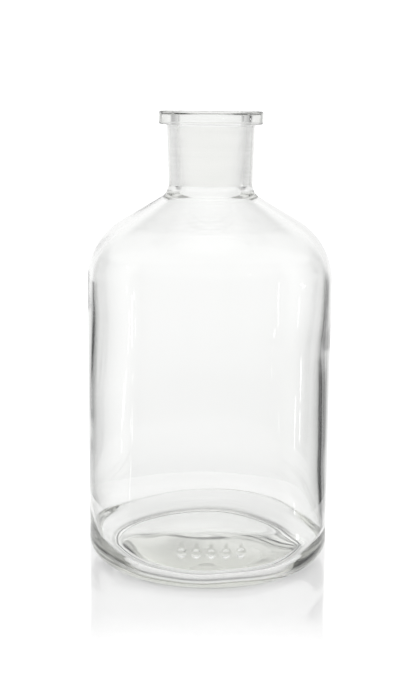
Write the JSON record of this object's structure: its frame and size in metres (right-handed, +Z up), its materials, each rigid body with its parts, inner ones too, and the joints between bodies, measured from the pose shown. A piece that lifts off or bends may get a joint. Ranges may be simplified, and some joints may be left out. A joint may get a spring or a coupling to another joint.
{
  "type": "reagent bottle",
  "caption": "Clear glass narrow-neck laboratory bottle, without stopper: flat polished rim flange, conical ground socket in the neck, round shoulder, straight body, thick base with a recessed underside.",
  "frame": {"origin": "centre of the standing ring, on the surface that the bottle stands on", "axes": "+Z up along the bottle's axis, out of the mouth; -Y towards the front, where the moulded pips are; +X to the right"},
  "size_m": [0.107, 0.1077, 0.1985],
  "materials": {
    "clear_glass": "gloss",
    "ground_glass": "matte"
  },
  "bodies": {
    "root": {"rim_flange": "clear_glass", "ground_neck": "ground_glass", "shoulder": "clear_glass", "body_wall": "clear_glass", "base": "clear_glass"}
  },
  "joints": []
}
